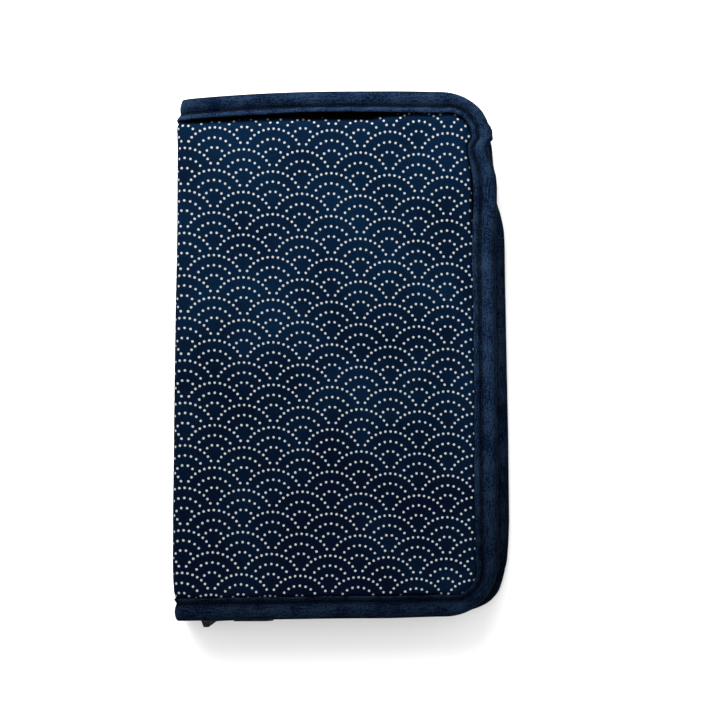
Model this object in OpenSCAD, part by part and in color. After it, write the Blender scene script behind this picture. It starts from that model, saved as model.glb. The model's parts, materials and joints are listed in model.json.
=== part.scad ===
// Zip-around phone wallet case of quilted cloth, lying closed on its rear cover.
// +X runs from the spine to the fore edge, +Y up the covers, +Z from the rear cover to the front one.
// The origin is on the flat outer face of the rear cover, midway between the spine and the fore edge.

/* [Case] */
// Width from the spine to the fore edge of the rear cover
case_w = 122; // [117:1:127]
// Height of the covers
case_h = 190; // [180:1:200]
// Thickness of the closed case
case_t = 20; // [20:0.5:24]
// Radius of the two corners at the fore edge
corner_r = 19; // [17:1:22]
// How far the rear cover stands out past the front cover at the fore edge
front_short = 5; // [1:0.5:6]

/* [Cover layers] */
// Thickness of the printed cloth and of the binding tape
cloth_t = 0.6; // [0.5:0.1:0.7]
// Thickness of the batting under the printed cloth
batting_t = 1.2; // [1:0.1:1.4]
// Thickness of the stiffening board
board_t = 0.8; // [0.6:0.1:1]
// Thickness of the lining
lining_t = 0.4; // [0.3:0.1:0.5]
// Width of the binding tape on each face
binding_w = 9.4; // [8:0.2:11]

/* [Zip] */
// How far the zip wall stands inside the edge of the front cover
zip_inset = 2.5; // [2.2:0.1:3.5]
// Thickness of the zip tape
tape_t = 0.6; // [0.5:0.1:0.7]
// Width of the tape's foot, sewn flat to the lining
foot_w = 5.6; // [5:0.2:6]
// Thickness of the coil, across the tape
coil_t = 2.2; // [2:0.1:2.4]
// Height of each half of the coil, along the tape
coil_h = 2.6; // [2.4:0.1:2.8]
// Gap between the two halves of the coil
coil_gap = 1.2; // [1.2:0.1:1.4]
// Centre of the slider along the bottom of the case when the zip is closed
slider_x = -46.8; // [-46.8:0.2:-40]
// Length of the slider
slider_l = 11.4; // [10.6:0.2:11.4]
// Width of the slider
slider_w = 8.8; // [8.4:0.2:9.2]
// Length of the pull from its pin to its tip
pull_l = 24; // [20:1:28]
// Width of the pull's tab
pull_w = 6.4; // [5.6:0.2:7]

/* [Pockets] */
// Thickness of the pocket cloth
pocket_t = 0.5; // [0.4:0.1:0.5]
// Mouth of the phone pocket, measured up from the middle of the case
phone_mouth_y = 48; // [30:1:60]
// Mouth of the bill pocket, measured up from the middle of the case
bill_mouth_y = 60; // [50:1:66]
// Number of card pockets, each one lower than the one behind it
card_count = 4;
// Height of the lowest card pocket
card_pocket_h = 50; // [46:1:52]
// Step from one card pocket's mouth to the next
card_step = 16; // [12:1:18]
// Width of the card pockets
card_pocket_w = 92; // [89:1:92]

/* [Hidden] */
$fn = 64;

half_h = case_h / 2;
rear_edge = case_w / 2;
front_edge = rear_edge - front_short;

// Heights of the layers, from the outer face of a cover inwards
cover_z = cloth_t;
batting_z = cover_z + cloth_t;
board_z = batting_z + batting_t;
lining_z = board_z + board_t;
tape_leg_z = lining_z + lining_t;
panel_t = tape_leg_z + cloth_t;

// The spine is a slab with round edges, and both fold axes are the centres of those edges
fold_r = panel_t / 2;
fold_x = -rear_edge + fold_r;
fold_gap = 0.3;
panel_x0 = fold_x + fold_r + fold_gap;
spine_core_r = fold_r - 2 * cloth_t;
over = 1;

// A cover's centre stands level with the binding and a little clear of its edge
centre_inset = binding_w + 0.2;
board_inset = cloth_t + 1;

// The zip wall's outer face, shared by both covers
zip_x = front_edge - zip_inset;
zip_y = half_h - zip_inset;
zip_r = corner_r - zip_inset;
zip_x0 = panel_x0 + 1;
zip_mid_y = zip_y - tape_t / 2;
coil_top = (case_t - coil_gap) / 2;
coil_z = coil_top - coil_h;
coil_chamfer = 0.5;
coil_grip = 0.8;
stop_x0 = zip_x0 + 0.6;
stop_l = 1.8;
stop_wall = 0.2;

// Slider: two plates, the wedge between the two halves of the coil, and the lips below the rear half
plate_gap = coil_t + 0.6;
outer_plate_t = 1.2;
inner_plate_t = 1;
plate_y = zip_mid_y + plate_gap / 2;
wedge_t = coil_gap - 0.6;
wedge_l = 5;
lip_t = 0.9;
lip_clear = 0.3;
slider_nose_r = 2;
slider_tail_w = slider_w - 1.6;
bridge_out = 4.2;
bridge_bar = 1.3;
bridge_peak_bar = 1.9;
bridge_w = 1.6;

// The bridge's profile along the slider, measured from the pull's pin
bridge_feet = [-2.9, 6.4];
bridge_peak = [-1.3, 0.5];

// Pull: a pin under the bridge, two arms past it, and a tab that lies along the case beside the coil.
// Along the pull, distances count from the pin.
pin_d = 1.2;
eye_r = 0.9;
eye_cut = 0.4;
pin_x = slider_x - 2.7;
pin_y = plate_y + outer_plate_t + eye_r + 0.25;
arm_t = 1;
arm_gap = bridge_w + 0.6;
arm_bend_x = slider_x + slider_l / 2 - pin_x + 0.2;
arm_l = arm_bend_x + 2.4;
arm_sunk = 0.25;
tab_t = 1.2;
tab_in = 0.45;
tab_x0 = arm_l - 1.2;
tab_hole_d = 2.6;

// Pockets lie inside the zip's feet
pocket_inset = foot_w + 0.4;
pocket_x0 = panel_x0 + 5.5;
card_x0 = (pocket_x0 + zip_x - pocket_inset - card_pocket_w) / 2;
card_bottom = -zip_y + pocket_inset + 0.6;
edge_w = 5;
edge_t = 0.3;

// Outline that is square at the spine and round at the fore edge
module outline(x0, x1, h, r) {
    translate([x0, -h]) square([x1 - r - x0, 2 * h]);
    translate([x0, r - h]) square([x1 - x0, 2 * (h - r)]);
    for (side = [-1, 1])
        translate([x1 - r, side * (h - r)]) circle(r);
}

// Outline of a cover that ends at edge_x, drawn in by inset
module cover_outline(edge_x, inset, x0 = panel_x0)
    outline(x0, edge_x - inset, half_h - inset, corner_r - inset);

// Outline of the zip wall, drawn in by inset
module zip_outline(inset, x0 = zip_x0)
    outline(x0, zip_x - inset, zip_y - inset, zip_r - inset);

// Slab between two heights
module layer(z0, z1)
    translate([0, 0, z0]) linear_extrude(z1 - z0) children();

// Turns a piece of the rear cover's side over to the front cover's side
module on_front()
    translate([0, 0, case_t]) mirror([0, 0, 1]) children();

// Printed cloth: runs under the binding, and stands level with it inside
module cover_cloth(edge_x) {
    layer(cover_z, batting_z) cover_outline(edge_x, cloth_t);
    layer(0, cover_z) cover_outline(edge_x, centre_inset);
}

module batting(edge_x)
    layer(batting_z, board_z) cover_outline(edge_x, cloth_t);

module board(edge_x)
    layer(board_z, lining_z) cover_outline(edge_x, board_inset);

module lining(edge_x) {
    layer(lining_z, tape_leg_z) cover_outline(edge_x, cloth_t);
    layer(tape_leg_z, panel_t) cover_outline(edge_x, centre_inset);
}

// Binding tape folded over the three free edges of a cover
module binding(edge_x)
    difference() {
        layer(0, panel_t) cover_outline(edge_x, 0);
        layer(cloth_t, tape_leg_z) cover_outline(edge_x, cloth_t, panel_x0 - over);
        layer(-over, panel_t + over) cover_outline(edge_x, binding_w, panel_x0 - over);
    }

// Strip that follows the zip wall, between two insets from its outer face
module zip_band(inset_out, inset_in, z0, z1)
    layer(z0, z1)
        difference() {
            zip_outline(inset_out);
            zip_outline(inset_in, zip_x0 - over);
        }

// Zip tape: a foot sewn to the lining and a wall that carries the coil
module zip_tape() {
    zip_band(0, foot_w, panel_t, panel_t + tape_t);
    zip_band(0, tape_t, panel_t + tape_t, coil_z + coil_grip);
}

// One half of the coil, gripping the edge of the tape
module zip_coil() {
    out = (tape_t - coil_t) / 2;
    in = (tape_t + coil_t) / 2;
    difference() {
        union() {
            zip_band(out + coil_chamfer, in - coil_chamfer, coil_z, coil_top);
            zip_band(out, in, coil_z + coil_chamfer, coil_top - coil_chamfer);
        }
        zip_band(0, tape_t, coil_z - over, coil_z + coil_grip);
    }
}

// Stops crimped round the two ends of one half of the coil
module zip_stops()
    for (side = [-1, 1])
        difference() {
            translate([stop_x0, side * zip_mid_y - coil_t / 2 - stop_wall, coil_z - stop_wall])
                cube([stop_l, coil_t + 2 * stop_wall, coil_h + 2 * stop_wall]);
            zip_coil();
            zip_tape();
        }

// Flat pocket on the lining, stepped up by level pocket thicknesses
module pocket(x0, x1, y0, y1, level)
    layer(panel_t + level * pocket_t, panel_t + (level + 1) * pocket_t)
        intersection() {
            translate([x0, y0]) square([x1 - x0, y1 - y0]);
            zip_outline(pocket_inset);
        }

// Tape folded over a pocket's mouth
module pocket_edge(mouth_y)
    difference() {
        translate([pocket_x0, mouth_y - edge_w, panel_t])
            cube([zip_x - pocket_inset - pocket_x0, edge_w + edge_t, pocket_t + edge_t]);
        translate([pocket_x0 - over, mouth_y - edge_w - over, panel_t - over])
            cube([case_w, edge_w + over, pocket_t + over]);
    }

// Card pocket number i, counted from the tallest one at the back
module card_pocket(i)
    on_front()
        pocket(card_x0, card_x0 + card_pocket_w, card_bottom,
               card_bottom + card_pocket_h + (card_count - i) * card_step, i);

// Section across the spine, grown by r from the line that joins the two fold axes
module spine_section(r) {
    translate([-r, 0]) square([2 * r, case_t - 2 * fold_r]);
    for (v = [0, case_t - 2 * fold_r])
        translate([0, v]) circle(r);
}

// Spine piece between two radii, over a length centred on the case, on one face of the spine
module spine_skin(r_in, r_out, length, face)
    translate([fold_x, length / 2, fold_r]) rotate([90, 0, 0]) linear_extrude(length)
        intersection() {
            difference() {
                spine_section(r_out);
                spine_section(r_in);
            }
            translate([face < 0 ? -case_t : 0, -case_t]) square([case_t, 3 * case_t]);
        }

// Outer or inner cloth of the spine: under the binding at both ends, level with it between them
module spine_cloth(face) {
    spine_skin(spine_core_r, fold_r - cloth_t, case_h - 2 * cloth_t, face);
    spine_skin(fold_r - cloth_t, fold_r, case_h - 2 * centre_inset, face);
}

// Slider plate seen from outside the case, with a rounded nose and a narrower tail
module slider_plate(thickness)
    rotate([90, 0, 0]) linear_extrude(thickness)
        union() {
            polygon([
                [-slider_l / 2 + slider_nose_r, -slider_w / 2], [0, -slider_w / 2],
                [slider_l / 2, -slider_tail_w / 2], [slider_l / 2, slider_tail_w / 2],
                [0, slider_w / 2], [-slider_l / 2 + slider_nose_r, slider_w / 2]
            ]);
            translate([-slider_l / 2, slider_nose_r - slider_w / 2])
                square([slider_nose_r + over, slider_w - 2 * slider_nose_r]);
            for (side = [-1, 1])
                translate([slider_nose_r - slider_l / 2, side * (slider_w / 2 - slider_nose_r)])
                    circle(slider_nose_r);
        }

// Bridge over the outer plate that holds the pull
module bridge()
    translate([pin_x, -plate_y - outer_plate_t, (case_t - bridge_w) / 2])
        linear_extrude(bridge_w)
            difference() {
                polygon([
                    [bridge_feet[0], 0], [bridge_peak[0], -bridge_out],
                    [bridge_peak[1], -bridge_out], [bridge_feet[1], 0]
                ]);
                polygon([
                    [bridge_feet[0] + bridge_bar, over],
                    [bridge_feet[0] + bridge_bar, 0],
                    [bridge_peak[0] + bridge_bar / 2, bridge_peak_bar - bridge_out],
                    [bridge_peak[1] - bridge_bar / 2, bridge_peak_bar - bridge_out],
                    [bridge_feet[1] - bridge_bar, 0],
                    [bridge_feet[1] - bridge_bar, over]
                ]);
            }

// Lip of one slider plate, hooked under the rear half of the coil
module slider_lip(y0, y1)
    translate([slider_x - slider_l / 2 + slider_nose_r, y0, coil_z - lip_clear - lip_t])
        cube([slider_l - 2 * slider_nose_r, y1 - y0, lip_t]);

module rear_cover() { color("midnightblue") cover_cloth(rear_edge); }
module rear_batting() { color("whitesmoke") batting(rear_edge); }
module rear_board() { color("tan") board(rear_edge); }
module rear_lining() { color("darkslateblue") lining(rear_edge); }
module rear_binding() { color("darkslategray") binding(rear_edge); }
module rear_zip_tape() { color("black") zip_tape(); }
module rear_zip_coil() { color("dimgray") zip_coil(); }
module rear_zip_stops() { color("gray") zip_stops(); }

module phone_pocket() {
    color("slateblue")
        pocket(pocket_x0, zip_x, -half_h, phone_mouth_y, 0);
}

module phone_pocket_edge() { color("darkslategray") pocket_edge(phone_mouth_y); }

module spine_cover() { color("midnightblue") spine_cloth(-1); }
module spine_lining() { color("darkslateblue") spine_cloth(1); }

module spine_stiffener() {
    color("tan")
        translate([fold_x, half_h - cloth_t, fold_r]) rotate([90, 0, 0])
            linear_extrude(case_h - 2 * cloth_t) spine_section(spine_core_r);
}

// Binding round the top and the bottom end of the spine
module spine_binding() {
    color("darkslategray")
        difference() {
            translate([fold_x, half_h, fold_r]) rotate([90, 0, 0])
                linear_extrude(case_h) spine_section(fold_r);
            translate([fold_x, half_h - cloth_t, fold_r]) rotate([90, 0, 0])
                linear_extrude(case_h - 2 * cloth_t) spine_section(fold_r - cloth_t);
            translate([-case_w, binding_w - half_h, -over])
                cube([case_w, case_h - 2 * binding_w, case_t + 2 * over]);
        }
}

module front_cover() { color("midnightblue") on_front() cover_cloth(front_edge); }
module front_batting() { color("whitesmoke") on_front() batting(front_edge); }
module front_board() { color("tan") on_front() board(front_edge); }
module front_lining() { color("darkslateblue") on_front() lining(front_edge); }
module front_binding() { color("darkslategray") on_front() binding(front_edge); }
module front_zip_tape() { color("black") on_front() zip_tape(); }
module front_zip_coil() { color("dimgray") on_front() zip_coil(); }
module front_zip_stops() { color("gray") on_front() zip_stops(); }

module bill_pocket() {
    color("slateblue")
        on_front() pocket(pocket_x0, zip_x, -half_h, bill_mouth_y, 0);
}

module bill_pocket_edge() { color("darkslategray") on_front() pocket_edge(bill_mouth_y); }

module card_pocket_1() { color("slateblue") card_pocket(1); }
module card_pocket_2() { color("mediumslateblue") card_pocket(2); }
module card_pocket_3() { color("slateblue") card_pocket(3); }
module card_pocket_4() { color("mediumslateblue") card_pocket(4); }

module slider_body() {
    color("dimgray") {
        translate([slider_x, -plate_y, case_t / 2]) slider_plate(outer_plate_t);
        translate([slider_x, -plate_y + plate_gap + inner_plate_t, case_t / 2])
            slider_plate(inner_plate_t);
        translate([slider_x - slider_l / 2, -plate_y, (case_t - wedge_t) / 2])
            cube([wedge_l, plate_gap, wedge_t]);
        slider_lip(-plate_y, -zip_mid_y - tape_t / 2 - lip_clear);
        slider_lip(-zip_mid_y + tape_t / 2 + lip_clear, -plate_y + plate_gap);
        bridge();
    }
}

module slider_pull() {
    tip_x = pull_l - pull_w / 2;
    color("gray") {
        translate([pin_x, -pin_y, case_t / 2])
            cylinder(d = pin_d, h = arm_gap + arm_t, center = true);
        for (side = [-1, 1])
            translate([pin_x, -pin_y, case_t / 2 + side * (arm_gap + arm_t) / 2])
                linear_extrude(arm_t, center = true)
                    polygon([
                        [-eye_r, eye_cut - eye_r], [eye_cut - eye_r, -eye_r], [eye_r, -eye_r],
                        [arm_l, tab_in - tab_t + arm_sunk], [arm_l, tab_in - arm_sunk],
                        [arm_bend_x + 1, tab_in - arm_sunk], [arm_bend_x, eye_r],
                        [eye_cut - eye_r, eye_r], [-eye_r, eye_r - eye_cut]
                    ]);
        translate([pin_x, tab_in - pin_y, case_t / 2]) rotate([90, 0, 0]) linear_extrude(tab_t)
            difference() {
                union() {
                    translate([tab_x0, -pull_w / 2]) square([tip_x - tab_x0, pull_w]);
                    translate([tip_x, 0]) circle(d = pull_w);
                }
                translate([tip_x, 0]) circle(d = tab_hole_d);
            }
    }
}

rear_cover();
rear_batting();
rear_board();
rear_lining();
rear_binding();
rear_zip_tape();
rear_zip_coil();
rear_zip_stops();
phone_pocket();
phone_pocket_edge();
spine_cover();
spine_stiffener();
spine_lining();
spine_binding();
front_cover();
front_batting();
front_board();
front_lining();
front_binding();
front_zip_tape();
front_zip_coil();
front_zip_stops();
bill_pocket();
bill_pocket_edge();
card_pocket_1();
card_pocket_2();
card_pocket_3();
card_pocket_4();
slider_body();
slider_pull();
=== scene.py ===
"""Looks for the zip-around phone wallet case.

Every soft layer of a cover is laid out flat first, in millimetres: X runs from the middle of the spine round
the fold and on to the fore edge, Y runs up the case, and depth runs from the outer face into the case.
place() then wraps that layout round the fold, so cloth, lining, tape and stitches stay in step.
"""

import json
import math

import bmesh
import bpy
import numpy as np
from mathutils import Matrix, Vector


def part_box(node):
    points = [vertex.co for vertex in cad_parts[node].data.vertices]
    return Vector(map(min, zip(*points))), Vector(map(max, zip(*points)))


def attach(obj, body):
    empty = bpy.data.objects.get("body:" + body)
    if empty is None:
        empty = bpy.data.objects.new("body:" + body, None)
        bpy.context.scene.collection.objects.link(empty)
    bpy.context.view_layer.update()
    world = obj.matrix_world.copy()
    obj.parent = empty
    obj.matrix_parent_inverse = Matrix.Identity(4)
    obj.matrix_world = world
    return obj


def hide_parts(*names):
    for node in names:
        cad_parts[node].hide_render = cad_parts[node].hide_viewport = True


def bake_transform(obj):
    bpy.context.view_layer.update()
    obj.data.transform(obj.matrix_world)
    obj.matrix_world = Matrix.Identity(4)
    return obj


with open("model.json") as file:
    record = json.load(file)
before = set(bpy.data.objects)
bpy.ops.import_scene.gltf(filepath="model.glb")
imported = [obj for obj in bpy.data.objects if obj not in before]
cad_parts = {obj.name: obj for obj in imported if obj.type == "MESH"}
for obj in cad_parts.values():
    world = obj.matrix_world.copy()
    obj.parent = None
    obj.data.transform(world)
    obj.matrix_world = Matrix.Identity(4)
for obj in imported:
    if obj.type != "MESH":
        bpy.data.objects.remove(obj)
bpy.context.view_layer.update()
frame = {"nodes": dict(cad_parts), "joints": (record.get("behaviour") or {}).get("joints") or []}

# ---- sizes, in millimetres, from the frame

MM = 0.001
JOINTS = {j["name"]: j for j in frame["joints"]}


def box_mm(node):
    """Lowest and highest corner of a CAD node, in millimetres."""
    low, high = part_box(node)
    return [v / MM for v in low], [v / MM for v in high]


REAR_LOW, REAR_HIGH = box_mm("rear_binding")
FRONT_HIGH = box_mm("front_binding")[1]
ZIP_LOW, ZIP_HIGH = box_mm("rear_zip_tape")
COIL_LOW = box_mm("rear_zip_coil")[0]
CASE_T = FRONT_HIGH[2]
HALF_H = REAR_HIGH[1]
PANEL_T = REAR_HIGH[2]
PANEL_X0 = REAR_LOW[0]
FOLD_R = PANEL_T / 2
FOLD_X = JOINTS["spine_fold"]["pos_m"][0] / MM
FOLD_ARC = FOLD_R * math.pi / 2
SPINE_MIDDLE = FOLD_X - FOLD_ARC - (CASE_T / 2 - FOLD_R)

CORNER_R = 20.0
ZIP_CORNER_R = CORNER_R - 3.5
POCKET_CORNER_R = CORNER_R - 10
CLOTH_T = 0.35
LINING_T = 0.3
PAD_BOTTOM = 2.6
BOARD_TOP = 2.7
CLOTH_INSET, LINING_INSET, PAD_INSET, BOARD_INSET = 2.2, 2.6, 14.0, 12.0

# The binding along the top, the fore edge and the bottom: its width, how far in its stitches run, and how
# deep the printed cloth dips beside it
BINDING_WIDTH = (8.2, 8.7, 7.9)
STITCH_INSET = (5.7, 5.5, 6.2)
CLOTH_DIP = {"front": (2.1, 1.0, 0.75), "rear": (0.9, 0.9, 0.9)}

STITCH_PITCH = 4.8
STITCH_DEPTH = 0.93

# The dark gap between the top lip and the printed cloth: places across the front cover, and its width there
TOP_GAP = [
    (-61, 0.7), (-52, 1.2), (-42, 1.8), (-20, 2.0), (3, 2.3), (9, 2.5), (12, 2.1), (17, 1.2), (25, 0.75),
    (40, 0.7),
]

SIDES = {
    "front": {"body": "front_side", "edge": FRONT_HIGH[0], "flip": True, "seed": 3},
    "rear": {"body": "rear_side", "edge": REAR_HIGH[0], "flip": False, "seed": 11},
}

# The worn fore edges: heights up the case, and how far each edge has crept in from its straight line there
FORE_CREEP = {
    "front": [
        (-95, 0.1), (-88, 0.4), (-82, 0.7), (35, 0.7), (45, 0.4), (53, -0.1), (60, -0.2), (64, 0.15),
        (65.5, 0.6), (67.5, 1.0), (71, 2.65), (74, 3.2), (76, 2.45), (77.4, 0.9), (78.8, 0.85), (80.5, 0.95),
        (82, 0.5), (83.2, 1.0), (84.5, 0.8), (86, 0.65), (88, 0.3), (95, 0.3),
    ],
    "rear": [
        (-95, -2.4), (-93, -1.7), (-91, -1.1), (-90, -0.65), (-88, -0.15), (-85, 0.7), (-82, 1.2),
        (-79, 1.35), (-76, 1.0), (-70, 0.5), (-62, 0.1), (-30, 0.1), (2, 0.4), (30, 0.6), (38, 0.6),
        (43, 0.65), (46, 0.8), (49, 1.25), (53, 2.15), (56, 3.1), (60, 4.1), (68, 4.35), (72, 4.6),
        (75, 4.85), (80, 4.75), (95, 4.6),
    ],
}

# The inner face's way into the fold and out along the spine, from the fold's axis: across, and deeper
TUCK = [
    (4.5, 2.1), (3.4, 1.9), (2.4, 1.4), (1.4, 0.95), (0.8, 0.8),
    (0.95, 1.4), (1.4, 2.4), (1.9, 3.4), (2.1, 4.5),
]


# ---- small maths

def smoothstep(low, high, value):
    t = np.clip((value - low) / (high - low), 0, 1)
    return t * t * (3 - 2 * t)


def soft_noise(x, y, scale, seed):
    """Smooth noise from -1 to 1 whose bumps are about scale wide."""
    rng = np.random.default_rng(seed)
    lattice = rng.uniform(-1, 1, (64, 64))
    u, v = np.asarray(x, float) / scale + 17.3, np.asarray(y, float) / scale + 23.7
    i, j = np.floor(u).astype(int), np.floor(v).astype(int)
    fu, fv = u - i, v - j
    fu, fv = fu * fu * (3 - 2 * fu), fv * fv * (3 - 2 * fv)
    i, j, i1, j1 = i % 64, j % 64, (i + 1) % 64, (j + 1) % 64
    low = lattice[i, j] * (1 - fu) + lattice[i1, j] * fu
    high = lattice[i, j1] * (1 - fu) + lattice[i1, j1] * fu
    return low * (1 - fv) + high * fv


def smooth_line(points, count):
    """Points at even steps along a Catmull-Rom curve through the given ones."""
    p = np.array(points, float)
    p = np.vstack([2 * p[0] - p[1], p, 2 * p[-1] - p[-2]])
    dense = []
    for a, b, c, d in zip(p, p[1:], p[2:], p[3:]):
        for t in np.linspace(0, 1, 16, endpoint=False):
            dense.append(0.5 * (2 * b + (c - a) * t + (2 * a - 5 * b + 4 * c - d) * t * t
                                + (3 * b - a - 3 * c + d) * t ** 3))
    dense = np.array(dense + [p[-2]])
    run = np.concatenate([[0], np.cumsum(np.linalg.norm(np.diff(dense, axis=0), axis=1))])
    at = np.linspace(0, run[-1], count)
    return np.stack([np.interp(at, run, dense[:, k]) for k in range(dense.shape[1])], 1)


# ---- from the flat layout to the case

TUCK_LINE = smooth_line(TUCK, 60)
TUCK_START = FOLD_X + TUCK[0][0]
TUCK_END = FOLD_X - FOLD_ARC - TUCK[-1][1]


def outer_face(flat_x):
    """x and depth of a cover's outer face, round the fold and along the spine."""
    past = FOLD_X - flat_x
    turn = np.clip(past / FOLD_R, 0, math.pi / 2)
    x = np.where(past < 0, flat_x, FOLD_X - FOLD_R * np.sin(turn))
    return x, FOLD_R * (1 - np.cos(turn)) + np.clip(past - FOLD_ARC, 0, None)


def inner_face(flat_x):
    """x and depth of a cover's inner face, through the tuck and along the spine."""
    t = np.clip((TUCK_START - flat_x) / (TUCK_START - TUCK_END), 0, 1) * (len(TUCK_LINE) - 1)
    steps = np.arange(len(TUCK_LINE))
    x = FOLD_X + np.interp(t, steps, TUCK_LINE[:, 0])
    depth = FOLD_R + np.interp(t, steps, TUCK_LINE[:, 1])
    x = x + np.clip(flat_x - TUCK_START, 0, None)
    return x, depth + np.clip(TUCK_END - flat_x, 0, None)


def drift(side, x, y):
    """How far the soft case has moved, across and up, from its straight outline at flat points."""
    edge = SIDES[side]["edge"]
    creep = np.interp(y, *zip(*FORE_CREEP[side]))
    lean = 0.75 * smoothstep(-40, 50, y) - 0.35 * smoothstep(76, 88, y) + 0.25 * smoothstep(-72, -86, y)
    across = -creep * smoothstep(edge - 17, edge - 1, x) + lean * smoothstep(-30, -57, x)
    near_spine = np.clip(-x / 60, 0, 1)
    droop = 0.7 - 2.9 * near_spine ** 2 - 0.4 * smoothstep(18, 44, x)
    sag = 0.25 + 0.7 * near_spine - 0.55 * smoothstep(12, 38, x)
    return across, smoothstep(20, HALF_H, y) * droop - smoothstep(-40, -HALF_H, y) * sag


def place(side, flat_x, y, depth):
    """Points of the case, in metres, for points of a side's flat layout."""
    flat_x, y, depth = np.broadcast_arrays(np.asarray(flat_x, float), y, depth)
    across, up = drift(side, flat_x, y)

    # Deep in the case both zip halves move alike, so that they stay side by side
    zip_share = smoothstep(4.7, 6.8, depth)
    zip_across = (drift("front", flat_x, y)[0] + drift("rear", flat_x, y)[0]) / 2
    across = across + (zip_across - across) * zip_share
    up = up * (1 - zip_share * np.where(y > 0, 0.6, 1.0))

    # The spine is pressed in at its two ends
    at_spine = smoothstep(FOLD_X + 3, FOLD_X - 2, flat_x)
    pinch = 2.0 * smoothstep(HALF_H - 11, HALF_H, y) * at_spine
    pinch = pinch + 0.8 * smoothstep(16 - HALF_H, 1 - HALF_H, y) * at_spine
    share = depth / PANEL_T
    share = share + (1 - np.clip(share, 0, 1)) * pinch / PANEL_T
    outer_x, outer_depth = outer_face(flat_x)
    inner_x, inner_depth = inner_face(flat_x)
    x = outer_x + (inner_x - outer_x) * share
    q = outer_depth + (inner_depth - outer_depth) * share
    z = CASE_T - q if SIDES[side]["flip"] else q
    return np.stack([x + across, y + up, z], -1) * MM


def by_edge(values, nx, ny):
    """The value for the top, the fore edge or the bottom, by the inward normal, and in between in corners."""
    top, fore, bottom = values
    return fore * nx ** 2 + np.where(ny > 0, bottom, top) * ny ** 2


def binding_size(nx, ny):
    """Width of the binding and inset of its stitches, both narrower where a corner stretches the tape."""
    corner = 1 - 0.17 * np.abs(2 * nx * ny)
    return by_edge(BINDING_WIDTH, nx, ny) * corner, by_edge(STITCH_INSET, nx, ny) * corner


def edge_distance(side, x, y):
    """How far a flat point is inside the edge of its cover, and the inward normal there."""
    cx = x - (SIDES[side]["edge"] - CORNER_R)
    cy = np.abs(y) - (HALF_H - CORNER_R)
    corner = (cx > 0) & (cy > 0)
    reach = np.maximum(np.hypot(cx, cy), 1e-6)
    fore = np.where(corner, cx / reach, np.where(cx > cy, 1.0, 0.0))
    end = np.where(corner, cy / reach, np.where(cx > cy, 0.0, 1.0))
    inside = CORNER_R - np.where(corner, reach, np.maximum(cx, cy))
    return inside, -fore, -end * np.sign(y)


# ---- meshes

def add_object(name, data):
    """Puts a new object in the scene."""
    obj = bpy.data.objects.new(name, data)
    bpy.context.scene.collection.objects.link(obj)
    return obj


def add_uv_map(mesh, name, values):
    """A UV map from one pair of numbers for each vertex."""
    layer = mesh.uv_layers.new(name=name)
    corners = np.zeros(len(mesh.loops), int)
    mesh.loops.foreach_get("vertex_index", corners)
    layer.data.foreach_set("uv", np.asarray(values, np.float32)[corners].ravel())


def make_object(name, points, faces, uvs, material):
    """A smooth-shaded mesh object with one UV map, in metres of cloth, and outward normals."""
    mesh = bpy.data.meshes.new(name)
    mesh.from_pydata(points.tolist(), [], faces)
    add_uv_map(mesh, "Cloth", uvs)
    bm = bmesh.new()
    bm.from_mesh(mesh)
    bmesh.ops.recalc_face_normals(bm, faces=bm.faces)
    bm.to_mesh(mesh)
    bm.free()
    mesh.polygons.foreach_set("use_smooth", [True] * len(mesh.polygons))
    mesh.materials.append(material)
    return add_object(name, mesh)


def grid_faces(rows, columns, start=0):
    """Quads between the points of a grid."""
    return [(a + j, a + j + 1, a + j + 1 + columns, a + j + columns)
            for a in range(start, start + (rows - 1) * columns, columns) for j in range(columns - 1)]


def ring_faces(rings, count, start=0):
    """Quads between rings of points, and a face across each end."""
    last = start + (rings - 1) * count
    faces = [(a + j, a + (j + 1) % count, a + (j + 1) % count + count, a + j + count)
             for a in range(start, last, count) for j in range(count)]
    return faces + [tuple(range(start, start + count))[::-1], tuple(range(last, last + count))]


def slab(name, side, x, y, top, bottom, material):
    """A thin closed sheet over a grid of flat points, between two depths."""
    rows, columns = x.shape
    count = rows * columns
    upper = place(side, x, y, top).reshape(-1, 3)
    lower = place(side, x, y, bottom).reshape(-1, 3)
    faces = grid_faces(rows, columns) + [f[::-1] for f in grid_faces(rows, columns, count)]
    rim = list(range(columns))
    rim += [i * columns + columns - 1 for i in range(1, rows)]
    rim += [(rows - 1) * columns + j for j in range(columns - 2, -1, -1)]
    rim += [i * columns for i in range(rows - 2, 0, -1)]
    faces += [(a, a + count, b + count, b) for a, b in zip(rim, rim[1:] + rim[:1])]
    across, up = drift(side, x, y)
    flat = np.stack([x + across, y + up], -1).reshape(-1, 2) * MM
    return make_object(name, np.vstack([upper, lower]), faces, np.vstack([flat, flat]), material)


def corner_pull(past_x, past_y, radius):
    """How far in grid points move to round a corner, by how far they are past the start of its arc."""
    a, b = np.clip(past_x / radius, 0, 1), np.clip(past_y / radius, 0, 1)
    return radius * a * (1 - np.sqrt(1 - b * b / 2)), radius * b * (1 - np.sqrt(1 - a * a / 2))


def cover_grid(side, inset, x_end, step):
    """Flat points over a cover from x_end to its fore edge, with the two outer corners rounded."""
    edge, half, radius = SIDES[side]["edge"] - inset, HALF_H - inset, CORNER_R - inset
    xs = np.linspace(x_end, edge, int((edge - x_end) / step) + 1)
    ys = np.linspace(-half, half, int(2 * half / step) + 1)
    x, y = np.meshgrid(xs, ys, indexing="ij")
    in_x, in_y = corner_pull(x - edge + radius, np.abs(y) - half + radius, radius)
    return x - in_x, y - np.sign(y) * in_y


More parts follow.
